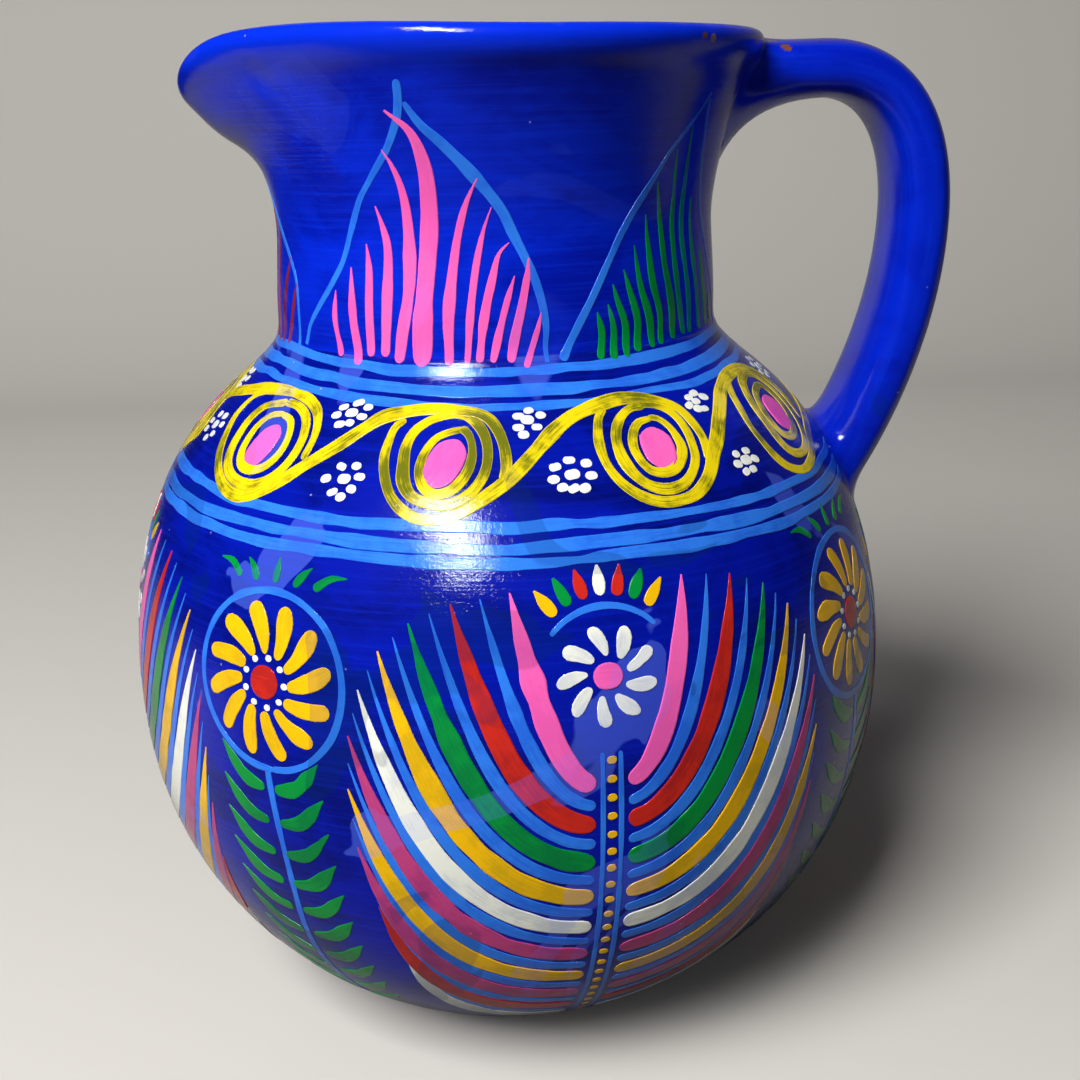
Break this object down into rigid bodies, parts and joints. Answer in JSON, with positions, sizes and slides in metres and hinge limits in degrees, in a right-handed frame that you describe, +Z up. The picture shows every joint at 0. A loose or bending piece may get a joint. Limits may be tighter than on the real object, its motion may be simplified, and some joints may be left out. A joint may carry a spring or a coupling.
{
  "type": "pitcher",
  "caption": "round-bellied terracotta pitcher with a flaring neck, a pulled spout opposite a strap handle, and a painted, varnished outside",
  "frame": {"origin": "centre of the flat underside of the base disc, on the belly's axis", "axes": "+Z up along the vessel's axis, +X towards the handle, -X towards the spout, the XZ plane is the plane of symmetry"},
  "size_m": [0.2062, 0.1914, 0.24],
  "materials": {
    "bare_terracotta": "bare fired clay, matt",
    "painted_belly_blue": "navy acrylic paint under clear gloss varnish, on fired clay",
    "painted_neck_blue": "cobalt acrylic paint under clear gloss varnish, on fired clay"
  },
  "bodies": {
    "root": {"base_disc": "bare_terracotta", "lower_bowl": "painted_belly_blue", "belly_seam_coil": "bare_terracotta", "upper_bowl": "painted_belly_blue", "neck_seam_coil": "bare_terracotta", "neck_wall": "painted_neck_blue", "rim_coil": "painted_neck_blue", "handle_strap": "painted_neck_blue", "upper_handle_wad": "painted_neck_blue", "lower_handle_wad": "painted_neck_blue"}
  },
  "joints": []
}
